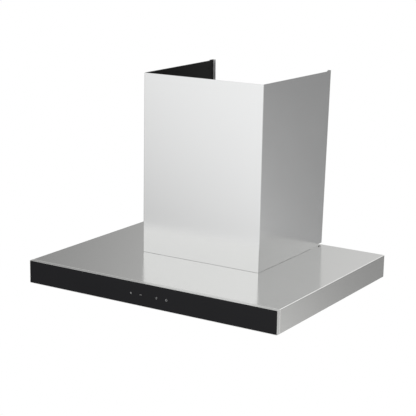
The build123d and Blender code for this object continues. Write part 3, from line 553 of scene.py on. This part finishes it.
# %% Plastic finishes
black_plastic = moulded("black plastic", (0.035, 0.035, 0.038), (0.05, 0.05, 0.053), 0.4, 0.55)
scroll_plastic = moulded("scroll plastic", (0.60, 0.60, 0.585), (0.66, 0.66, 0.645), 0.42, 0.55, 1200.0, 0.4)
fan_plastic = moulded("fan plastic", (0.07, 0.075, 0.08), (0.10, 0.105, 0.11), 0.35, 0.5)
latch_plastic = moulded("latch plastic", (0.42, 0.43, 0.44), (0.50, 0.51, 0.52), 0.28, 0.42, 2400.0, 0.15)
power_plastic = moulded("power box plastic", (0.16, 0.16, 0.17), (0.2, 0.2, 0.21), 0.42, 0.58, 1400.0, 0.4)
gland_plastic = moulded("gland plastic", (0.03, 0.03, 0.03), (0.05, 0.05, 0.05), 0.38, 0.5)
capacitor_skin = moulded(
    "capacitor plastic", (0.72, 0.72, 0.70), (0.78, 0.78, 0.76), 0.35, 0.45, 2200.0, 0.15
)
rubber = moulded("black rubber", (0.022, 0.022, 0.022), (0.035, 0.035, 0.035), 0.65, 0.8, 1500.0, 0.4)
foam = moulded("closed foam", (0.04, 0.04, 0.04), (0.06, 0.06, 0.06), 0.85, 0.95, 900.0, 0.9)
lead_skin = moulded("lead insulation", (0.36, 0.36, 0.37), (0.44, 0.44, 0.45), 0.35, 0.5, 2600.0, 0.1)
motor_paint = moulded("motor enamel", (0.16, 0.165, 0.17), (0.2, 0.205, 0.21), 0.3, 0.42, 700.0, 0.25)
board_green = moulded("board lacquer", (0.02, 0.16, 0.06), (0.03, 0.20, 0.08), 0.28, 0.4, 600.0, 0.25)
print("plastic, rubber and paint finishes")


# %% [markdown]
# ## Dressing the frame
# Each CAD piece keeps its mesh and only takes a finish. The table follows the record's slots, and
# the two chimney covers have a finish each, because the painted shade on the back of their front walls starts
# at a different depth.


# %% Put the finishes on the CAD pieces
finish_of_slot = {
    "stainless_shell": shell_steel,
    "stainless_cover": lower_cover_steel,
    "fascia_steel": fascia_steel,
    "black_glass": black_glass,
    "foam_tape": foam,
    "panel_steel": panel_steel,
    "galvanised": galvanised,
    "circuit_board": board_green,
    "spring_steel": bright_wire,
    "black_plastic": black_plastic,
    "filter_aluminium": aluminium,
    "filter_mesh": mesh_aluminium,
    "latch_plastic": latch_plastic,
    "lamp_metal": lamp_metal,
    "volute_plastic": scroll_plastic,
    "impeller_plastic": fan_plastic,
    "hub_metal": turned_hub,
    "shaft_steel": ground_steel,
    "motor_paint": motor_paint,
    "lamination_steel": lamination,
    "bush_rubber": rubber,
    "capacitor_can": capacitor_skin,
    "power_box_plastic": power_plastic,
    "gland_plastic": gland_plastic,
    "lead_insulation": lead_skin,
    "screw_steel": zinc_plate,
}


def dress(node, finish):
    """Gives every slot of a CAD piece one finish."""
    materials = frame["nodes"][node].data.materials
    if not materials:
        materials.append(finish)
    for index in range(len(materials)):
        materials[index] = finish


for entry in record["subparts"]:
    if entry["material_slot"] in finish_of_slot:
        dress(entry["node"], finish_of_slot[entry["material_slot"]])
dress("upper_chimney_cover", upper_cover_steel)
print("dressed", len(record["subparts"]), "CAD pieces")


# %% [markdown]
# ## New pieces from surfaces
# A new piece is a set of points worked out as whole arrays and joined by faces. One helper puts the
# arrays into a mesh, turns every face outwards, and lets the piece ride on its body.


# %% Helper: arrays to a piece
def make_piece(name, points, faces, finish, body, replaced=(), smooth=False):
    """Builds a mesh object from an (n, 3) array and a list of faces, with its faces turned outwards."""
    mesh = bpy.data.meshes.new(name)
    mesh.from_pydata(np.asarray(points).reshape(-1, 3).tolist(), [], np.asarray(faces).tolist())
    shape = bmesh.new()
    shape.from_mesh(mesh)
    bmesh.ops.recalc_face_normals(shape, faces=shape.faces)
    shape.to_mesh(mesh)
    shape.free()
    mesh.materials.append(finish)
    mesh.polygons.foreach_set("use_smooth", np.full(len(mesh.polygons), smooth))
    piece = bpy.data.objects.new(name, mesh)
    bpy.context.scene.collection.objects.link(piece)
    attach(piece, body)
    if replaced:
        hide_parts(*replaced)
    print(name, len(mesh.vertices), "points", len(mesh.polygons), "faces")
    return piece


# %% [markdown]
# ### Expanded metal
# A grease filter's face is one aluminium sheet, slit and pulled open into diamonds. It could be a
# see-through pattern on a flat plate, but a real mesh holds its shape from every angle. Pulled
# metal is a stack of zigzag strands: each strand is a zigzag, its neighbour is the mirror image, and
# the two meet at every other corner. So the whole sheet is one array of strands by corners by
# the four edges of a flat strip.


# %% Surface: expanded metal
def expanded_sheet(low, high, height, length_pitch, row_pitch, strand, thickness, tilt):
    """Strand j runs at y = y0 + j*row_pitch + (-1)**j * row_pitch/2 * zigzag(x / length_pitch).

    The strip section is strand wide and thickness tall, turned about X by the tilt; the sign of the
    tilt follows the slope of the zigzag, which is how pulled strands twist.
    """
    columns = int(round((high[0] - low[0]) / (length_pitch / 2)))
    rows = int((high[1] - low[1] - strand) / row_pitch)
    x = np.linspace(low[0], high[0], columns + 1)
    zigzag = np.where(np.arange(columns + 1) % 2 == 0, -1.0, 1.0)
    row = np.arange(rows + 1)
    start = (low[1] + high[1] - rows * row_pitch) / 2
    sign = np.where(row % 2 == 0, 1.0, -1.0)[:, None]
    reach = (row_pitch - strand) / 2
    y = start + row[:, None] * row_pitch + sign * reach * zigzag[None, :]
    y = np.clip(y, low[1] + strand / 2, high[1] - strand / 2)
    lean = tilt * sign * zigzag[None, :]
    across = np.array([-1, 1, 1, -1]) * strand / 2
    upward = np.array([-1, -1, 1, 1]) * thickness / 2
    points = np.zeros((rows + 1, columns + 1, 4, 3))
    points[..., 0] = x[None, :, None]
    points[..., 1] = y[..., None] + across * np.cos(lean)[..., None] - upward * np.sin(lean)[..., None]
    points[..., 2] = height + across * np.sin(lean)[..., None] + upward * np.cos(lean)[..., None]
    index = np.arange((rows + 1) * (columns + 1) * 4).reshape(rows + 1, columns + 1, 4)
    here, ahead = index[:, :-1], index[:, 1:]
    sides = np.stack([here, np.roll(here, -1, 2), np.roll(ahead, -1, 2), ahead], axis=-1).reshape(-1, 4)
    caps = np.concatenate([index[:, 0, ::-1], index[:, -1]])
    return points.reshape(-1, 3), np.concatenate([sides, caps])


def cut_for_cup(points, faces, low, high):
    """Drops the faces whose middle lies in the rectangle that the latch cup fills."""
    middle = points[faces].mean(axis=1)
    inside = ((middle[:, :2] > low) & (middle[:, :2] < high)).all(axis=1)
    return faces[~inside]


def stack(sheets):
    """Joins several (points, faces) pairs into one pair."""
    points = np.concatenate([sheet[0] for sheet in sheets])
    counts = np.cumsum([0] + [len(sheet[0]) for sheet in sheets[:-1]])
    return points, np.concatenate([sheet[1] + start for sheet, start in zip(sheets, counts)])


# %% [markdown]
# The sheet's rows are cut where the latch cup sits, and the cut ends are hidden by the cup's own
# rim. Two sheets face each filter, below and above, and two coarser ones lie crosswise inside.


# %% Piece: filter faces and inner layers
def mesh_pieces(side):
    """Makes the outer faces and the inner layers of one filter inside the space of its CAD sheets."""
    low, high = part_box(f"filter_faces_{side}")
    cup_low, cup_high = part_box(f"latch_cup_{side}")
    cup = (cup_low.x + 0.001, low.y - 0.01), (cup_high.x - 0.001, cup_high.y - 0.001)
    faces = []
    for height, lean in ((low.z + 0.0004, 0.45), (high.z - 0.0004, -0.45)):
        points, quads = expanded_sheet(
            (low.x, low.y), (high.x, high.y), height, 0.012, 0.003, 0.0009, 0.00035, lean
        )
        faces.append((points, cut_for_cup(points, quads, *cup)))
    points, quads = stack(faces)
    make_piece(
        f"filter_mesh_{side}",
        points,
        quads,
        mesh_aluminium,
        f"filter_{side}",
        [f"filter_faces_{side}"],
    )
    low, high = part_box(f"filter_layers_{side}")
    layers = []
    for height, lean in ((low.z + 0.0006, 0.5), (high.z - 0.0006, -0.5)):
        points, quads = expanded_sheet(
            (low.y, low.x), (high.y, high.x), height, 0.016, 0.004, 0.0011, 0.00035, lean
        )
        points = points[:, [1, 0, 2]]
        layers.append((points, cut_for_cup(points, quads, *cup)))
    points, quads = stack(layers)
    make_piece(
        f"filter_wadding_{side}",
        points,
        quads,
        mesh_aluminium,
        f"filter_{side}",
        [f"filter_layers_{side}"],
    )


for side in ("left", "right"):
    mesh_pieces(side)

# %% [markdown]
# ### Lamp lenses
# The lens over each lamp is frosted plastic with fine rings that spread the light. It is a profile
# turned about the lamp's axis: a shallow dome with a cosine ripple on its lower face.


# %% Surface: ribbed lens
def ribbed_lens(centre, radius, bottom, top, rings=9, around=96, across=64):
    """Lower face z = bottom + 0.5*(ripple) + dome; the upper face is flat and closes the solid."""
    r = np.linspace(0.0, radius, across)[1:]
    ripple = 0.00018 * (1 - np.cos(2 * np.pi * rings * r / radius)) / 2
    dome = 0.0006 * (r / radius) ** 4
    lower = bottom + ripple + dome
    angle = np.linspace(0, 2 * np.pi, around, endpoint=False)
    ring = np.stack([np.cos(angle), np.sin(angle)], axis=-1)
    flat = centre + ring[None] * r[:, None, None]
    under = np.concatenate([flat, np.broadcast_to(lower[:, None, None], flat.shape[:2] + (1,))], axis=-1)
    rim = np.concatenate([centre + ring * radius, np.full((around, 1), top)], axis=-1)[None]
    points = np.concatenate([under, rim]).reshape(-1, 3)
    low_pole, high_pole = (*centre, bottom), (*centre, top)
    count = len(r) + 1
    index = np.arange(count * around).reshape(count, around)
    here, ahead = index[:-1], index[1:]
    quads = np.stack([here, np.roll(here, -1, 1), np.roll(ahead, -1, 1), ahead], axis=-1).reshape(-1, 4)
    low_index, high_index = len(points), len(points) + 1
    points = np.concatenate([points, [low_pole, high_pole]])
    low_fan = [[low_index, int(a), int(b)] for a, b in zip(index[0], np.roll(index[0], -1))]
    high_fan = [[high_index, int(a), int(b)] for a, b in zip(index[-1], np.roll(index[-1], -1))]
    return points, quads.tolist() + low_fan + high_fan


# %% [markdown]
# The frosted finish lets light through softly. A low transmission with a high roughness reads as
# milky plastic, and the lamps are off, so nothing glows.

# %% Frosted finish and lens pieces
frosted, frost_tree, frost_shader = open_material(
    "frosted lens", Transmission_Weight=0.35, IOR=1.49, Subsurface_Weight=0.0
)
use_group(
    frost_tree,
    frost_shader,
    moulded_skin,
    {
        "Colour": (0.86, 0.87, 0.86, 1),
        "Rubbed Colour": (0.92, 0.92, 0.91, 1),
        "Grain Size": 1500.0,
        "Depth": 0.2,
        "Roughness Low": 0.4,
        "Roughness High": 0.55,
    },
    GRAIN_OUT,
)


def make_lens(side):
    """Replaces the plain CAD lens with the ribbed one."""
    low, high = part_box(f"lamp_lens_{side}")
    centre = np.array([(low.x + high.x) / 2, (low.y + high.y) / 2])
    points, faces = ribbed_lens(centre, (high.x - low.x) / 2, low.z, high.z)
    mesh = bpy.data.meshes.new(f"lens_{side}")
    mesh.from_pydata(points.tolist(), [], faces)
    shape = bmesh.new()
    shape.from_mesh(mesh)
    bmesh.ops.recalc_face_normals(shape, faces=shape.faces)
    shape.to_mesh(mesh)
    shape.free()
    mesh.materials.append(frosted)
    mesh.polygons.foreach_set("use_smooth", np.full(len(mesh.polygons), True))
    lens = bpy.data.objects.new(f"lens_{side}", mesh)
    bpy.context.scene.collection.objects.link(lens)
    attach(lens, "housing")
    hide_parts(f"lamp_lens_{side}")
    print(lens.name, len(mesh.polygons), "faces")


for side in ("left", "right"):
    make_lens(side)

# %% [markdown]
# ### Touch keys
# The keys are light grey symbols printed on the glass: more, less, lamp and power. Each is a set of
# outlines lifted a few hundredths of a millimetre off the glass, so they stay sharp close up.


# %% Shapes of the printed keys
def bar(x0, z0, x1, z1):
    """A rectangle as an outline, counter-clockwise seen from the front."""
    return np.array([(x0, z0), (x1, z0), (x1, z1), (x0, z1)])


def arc_band(centre, radius, width, start, stop, steps=40):
    """The outline of a ring sector: out along the outer arc and back along the inner one."""
    angle = np.radians(np.linspace(start, stop, steps))
    unit = np.stack([np.cos(angle), np.sin(angle)], axis=-1)
    outer = np.array(centre) + unit * (radius + width / 2)
    inner = np.array(centre) + unit[::-1] * (radius - width / 2)
    return np.concatenate([outer, inner])


def plate(outline, front, back):
    """Closes an outline between two depths into a thin printed patch: its points and its faces."""
    count = len(outline)
    points = np.concatenate(
        [np.stack([outline[:, 0], np.full(count, y), outline[:, 1]], axis=-1) for y in (front, back)]
    )
    ring = np.arange(count)
    walls = np.stack([ring, np.roll(ring, -1), np.roll(ring, -1) + count, ring + count], axis=-1)
    return points, [ring.tolist(), (ring[::-1] + count).tolist(), *walls.tolist()]


print("key shapes: bar, arc and plate")

# %% Piece: printed keys
ink, ink_tree, ink_shader = open_material("grey ink", Metallic=0.0)
use_group(
    ink_tree,
    ink_shader,
    moulded_skin,
    {
        "Colour": (0.50, 0.50, 0.50, 1),
        "Rubbed Colour": (0.58, 0.58, 0.58, 1),
        "Grain Size": 3000.0,
        "Depth": 0.1,
        "Roughness Low": 0.35,
        "Roughness High": 0.5,
    },
    GRAIN_OUT,
)
spring_low, spring_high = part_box("touch_springs")
glass_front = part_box("front_glass")[0].y
key_z = (spring_low.z + spring_high.z) / 2
coil = (spring_high.z - spring_low.z) / 2
key_pitch = 0.024
first, last = spring_low.x + coil, spring_high.x - coil
key_x = np.array([first, first + key_pitch, last - key_pitch, last])
reach, half_stroke = 0.0021, 0.00038  # of a plus or a minus, from its middle
ink_front, ink_back = glass_front - 0.00004, glass_front + 0.00002
symbols = {
    "key_more": [
        bar(-reach, -half_stroke, -half_stroke, half_stroke),
        bar(-half_stroke, -reach, half_stroke, reach),
        bar(half_stroke, -half_stroke, reach, half_stroke),
    ],
    "key_less": [bar(-reach, -half_stroke, reach, half_stroke)],
    "key_lamp": [
        arc_band((0, 0.0005), 0.00135, 0.0005, -50, 230),
        bar(-0.0008, -0.0016, 0.0008, -0.0012),
        bar(-0.0006, -0.0023, 0.0006, -0.0019),
    ],
    "key_power": [arc_band((0, 0), 0.0021, 0.0006, -235, 55), bar(-0.0003, 0.0004, 0.0003, 0.0026)],
}
for (name, outlines), x in zip(symbols.items(), key_x):
    patches = [plate(outline + (x, key_z), ink_front, ink_back) for outline in outlines]
    points = np.concatenate([patch[0] for patch in patches])
    faces, start = [], 0
    for patch_points, patch_faces in patches:
        faces += [[corner + start for corner in face] for face in patch_faces]
        start += len(patch_points)
    mesh = bpy.data.meshes.new(name)
    mesh.from_pydata(points.tolist(), [], faces)
    shape = bmesh.new()
    shape.from_mesh(mesh)
    bmesh.ops.triangulate(shape, faces=[f for f in shape.faces if len(f.verts) > 4])
    bmesh.ops.recalc_face_normals(shape, faces=shape.faces)
    shape.to_mesh(mesh)
    shape.free()
    mesh.materials.append(ink)
    key = bpy.data.objects.new(name, mesh)
    bpy.context.scene.collection.objects.link(key)
    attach(key, "housing")
    print(name, len(mesh.polygons), "faces")

# %% [markdown]
# ### Latch springs
# Each filter latch pushes against a small coil spring, so the spring has to shorten when the latch
# is pulled. It is a round wire swept along a helix.


# %% Surface: coil spring
def spring_wire(centre, start, end, coil_radius, wire, turns):
    """The wire's centre is (cx + R cos a, y, cz + R sin a), where a goes through all the turns as y rises.

    Around that centre the wire is a circle of eight points, square to the wire's own direction.
    """
    steps, sides = 24 * turns, 8
    angle = np.linspace(0, 2 * np.pi * turns, steps + 1)
    rise = (end - start) / (2 * np.pi * turns)
    outward = np.stack([np.cos(angle), np.zeros_like(angle), np.sin(angle)], axis=1)
    line = np.array([centre[0], start, centre[1]]) + coil_radius * outward + np.outer(rise * angle, (0, 1, 0))
    ahead = (-coil_radius * np.sin(angle), np.full_like(angle, rise), coil_radius * np.cos(angle))
    along = np.stack(ahead, axis=1)
    along /= np.linalg.norm(along, axis=1, keepdims=True)
    square = np.cross(along, outward)
    turn = np.arange(sides) * 2 * np.pi / sides
    ring = np.cos(turn)[None, :, None] * outward[:, None] + np.sin(turn)[None, :, None] * square[:, None]
    points = line[:, None] + wire * ring
    at = np.arange(steps * sides).reshape(steps, sides)
    beside = np.roll(at, -1, axis=1)
    walls = np.stack([at, beside, beside + sides, at + sides], axis=2).reshape(-1, 4)
    cap = np.array([(0, 1, 2, 3), (0, 3, 4, 7), (4, 5, 6, 7)])
    return points, np.concatenate([walls, cap, cap + steps * sides])


# %% Two latch springs
latch_travel, wire, turns = 0.005, 0.0003, 6
for name in ("left", "right"):
    low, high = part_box(f"latch_spring_{name}")
    middle = (low + high) / 2
    points, faces = spring_wire(
        (middle.x, middle.z), low.y + wire, high.y - wire, (high.z - low.z) / 2 - wire, wire, turns
    )
    spring = make_piece(
        f"latch_coil_{name}",
        points,
        faces,
        bright_wire,
        f"filter_{name}",
        [f"latch_spring_{name}"],
        smooth=True,
    )
    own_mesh(spring)

# %% [markdown]
# ## Studio
# The hood hangs in a white studio over a pale floor. The floor shows plain white to the camera and
# is left out of the reflections, so that the surroundings alone set the greys of the steel. Seen
# from below it is clear, or it would hide the underside.


# %% Floor
def make_floor(height, reach):
    """A square of floor below the lowest swing of the filters."""
    mesh = bpy.data.meshes.new("floor")
    corners = np.array([(-1, -1, 0), (1, -1, 0), (1, 1, 0), (-1, 1, 0)]) * (reach, reach, 0)
    mesh.from_pydata((corners + (0, -0.3, height)).tolist(), [], [[0, 1, 2, 3]])
    floor = bpy.data.objects.new("floor", mesh)
    bpy.context.scene.collection.objects.link(floor)
    made = bpy.data.materials.new("pale floor")
    made.use_nodes = True
    tree = made.node_tree
    tree.nodes.remove(tree.nodes["Principled BSDF"])
    path = add(tree, "ShaderNodeLightPath")
    side = add(tree, "ShaderNodeNewGeometry")
    above = add(tree, "ShaderNodeMath", {0: 1.0, 1: side.outputs["Backfacing"]}, operation="SUBTRACT")
    seen = add(
        tree, "ShaderNodeMath", {0: path.outputs["Is Camera Ray"], 1: above.outputs[0]}, operation="MULTIPLY"
    )
    white = add(tree, "ShaderNodeEmission", {"Color": (1, 1, 1, 1), "Strength": 1.0})
    clear = add(tree, "ShaderNodeBsdfTransparent")
    shown = add(tree, "ShaderNodeMixShader", {0: seen.outputs[0], 1: clear.outputs[0], 2: white.outputs[0]})
    tree.links.new(shown.outputs[0], tree.nodes["Material Output"].inputs["Surface"])
    mesh.materials.append(made)
    print("floor at", height)


make_floor(-0.32, 3.0)

# %% [markdown]
# ### Surroundings
# Brushed steel shows its surroundings more than its own colour, so the studio is a dim room with a
# few broad soft panels. A panel is a patch of directions: full in its middle, fading smoothly to
# nothing at its rim. Its strength is smoothstep of the angle between the direction and its middle.


# %% Surroundings
def towards(azimuth, elevation):
    """Unit direction; azimuth turns from the wall side (+Y) towards the right (+X)."""
    azimuth, elevation = math.radians(azimuth), math.radians(elevation)
    flat = math.cos(elevation)
    return (flat * math.sin(azimuth), flat * math.cos(azimuth), math.sin(elevation))


def make_surroundings(room, panels):
    """Brightness = room + the sum of the panels; the camera itself sees plain white."""
    world = bpy.data.worlds.new("studio")
    bpy.context.scene.world = world
    world.use_nodes = True
    tree = world.node_tree
    background = tree.nodes["Background"]
    place = add(tree, "ShaderNodeTexCoord")
    total = None
    for middle, inner, outer, strength in panels:
        angle = add(
            tree,
            "ShaderNodeVectorMath",
            {0: place.outputs["Generated"], 1: towards(*middle)},
            operation="DOT_PRODUCT",
        )
        rim, core = math.cos(math.radians(outer)), math.cos(math.radians(inner))
        panel = add(
            tree,
            "ShaderNodeMapRange",
            {0: angle.outputs["Value"], 1: rim, 2: core, 3: 0.0, 4: strength},
            interpolation_type="SMOOTHSTEP",
        )
        so_far = room if total is None else total.outputs[0]
        total = add(tree, "ShaderNodeMath", {0: so_far, 1: panel.outputs[0]}, operation="ADD")
    path = add(tree, "ShaderNodeLightPath")
    shown = add(
        tree,
        "ShaderNodeMix",
        {0: path.outputs["Is Camera Ray"], 2: total.outputs[0], 3: 1.0},
        data_type="FLOAT",
    )
    tree.links.new(shown.outputs[0], background.inputs["Strength"])
    background.inputs["Color"].default_value = (1, 1, 1, 1)
    print("surroundings:", len(panels), "panels")


make_surroundings(
    0.29,
    [
        ((-162, 6), 18, 32, 0.70),
        ((180, 10), 30, 90, 0.10),
        ((150, -5), 25, 60, 0.45),
        ((60, -32), 20, 37, 0.80),
        ((-5, 25), 15, 36, 0.42),
        ((32, 22), 5, 25, 0.24),
        ((15, 42), 8, 25, 1.00),
        ((-100, 60), 15, 50, 0.50),
    ],
)

# %% [markdown]
# ## Camera
# The camera stands to the right of the hood and a little above it, with a long lens, so the
# chimney's sides stay nearly parallel. It is turned slightly about its own axis.

# %% Camera
azimuth, elevation, roll = map(math.radians, (31.785, 13.415, 1.053))
back = np.array(
    [math.sin(azimuth) * math.cos(elevation), -math.cos(azimuth) * math.cos(elevation), math.sin(elevation)]
)
level_right = np.array([math.cos(azimuth), math.sin(azimuth), 0.0])
level_up = np.cross(back, level_right)
right = math.cos(roll) * level_right + math.sin(roll) * level_up
up = math.cos(roll) * level_up - math.sin(roll) * level_right
aim = np.array([0.0, -0.241, 0.200])
distance, shift_left, shift_down = 2.733, 0.0074, 0.04016
eye = aim + distance * back - shift_left * right - shift_down * up
camera = bpy.data.objects.new("camera", bpy.data.cameras.new("camera"))
bpy.context.scene.collection.objects.link(camera)
camera.data.sensor_width = 36.0
camera.data.lens = 111.17
turn = np.eye(4)
turn[:3, 0], turn[:3, 1], turn[:3, 2], turn[:3, 3] = right, up, back, eye
camera.matrix_world = Matrix(turn.tolist())
bpy.context.scene.camera = camera
bpy.context.scene.view_settings.view_transform = "Standard"
print("camera at", np.round(eye, 3))
